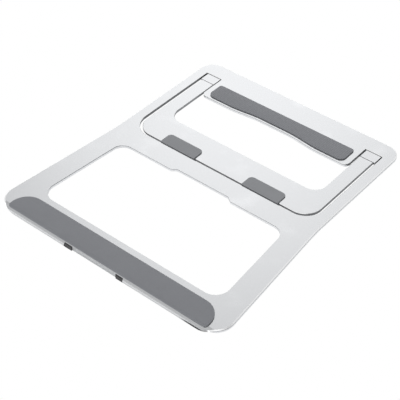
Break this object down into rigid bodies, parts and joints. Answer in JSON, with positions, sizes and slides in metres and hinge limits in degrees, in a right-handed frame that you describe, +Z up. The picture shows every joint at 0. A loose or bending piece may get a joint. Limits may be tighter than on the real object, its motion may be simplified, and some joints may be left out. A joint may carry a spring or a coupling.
{
  "type": "laptop stand",
  "caption": "Flat folding laptop stand: a thin bent plate with a large window, rubber pads and a U-shaped leg that lies flush in it and swings down on friction hinges.",
  "frame": {"origin": "on the desk, under the middle of the folded stand's outline", "axes": "+X across the stand (to the right seen from the front), +Y towards the rear edge, +Z up"},
  "size_m": [0.2286, 0.26, 0.0066],
  "materials": {
    "plate_aluminium": "bead-blasted and clear anodised, cut edges polished",
    "leg_aluminium": "bead-blasted and clear anodised, cut edges polished",
    "hinge_aluminium": "satin anodised",
    "pad_rubber": "matte grey silicone rubber",
    "sleeve_rubber": "matte grey silicone rubber",
    "foot_rubber": "matte dark grey silicone rubber",
    "black_rubber": "matte black rubber",
    "screw_steel": "zinc-plated steel",
    "pin_steel": "ground steel",
    "knuckle_steel": "nickel-plated steel, satin",
    "washer_bronze": "satin bronze",
    "adhesive_film": "pressure-sensitive acrylic film"
  },
  "bodies": {
    "base": {"base_plate": "plate_aluminium", "front_pad": "pad_rubber", "front_pad_adhesive": "adhesive_film", "rear_pad": "pad_rubber", "rear_pad_adhesive": "adhesive_film", "lip_bumper_left": "black_rubber", "lip_bumper_right": "black_rubber", "rear_foot_left": "foot_rubber", "rear_foot_right": "foot_rubber", "hinge_block_left": "hinge_aluminium", "hinge_block_right": "hinge_aluminium", "hinge_screws_left": "screw_steel", "hinge_screws_right": "screw_steel", "hinge_pin_left": "pin_steel", "hinge_pin_right": "pin_steel", "friction_washers_left": "washer_bronze", "friction_washers_right": "washer_bronze"},
    "leg": {"leg_frame": "leg_aluminium", "leg_sleeve_left": "sleeve_rubber", "leg_sleeve_right": "sleeve_rubber", "leg_knuckle_left": "knuckle_steel", "leg_knuckle_right": "knuckle_steel", "knuckle_screws_left": "screw_steel", "knuckle_screws_right": "screw_steel"}
  },
  "joints": [
    {"name": "leg_hinge", "type": "hinge", "parent": "base", "child": "leg", "pos_m": [0, 0.1075, 0.0025], "axis": [1, 0, 0], "range_deg": [0, 100]}
  ]
}
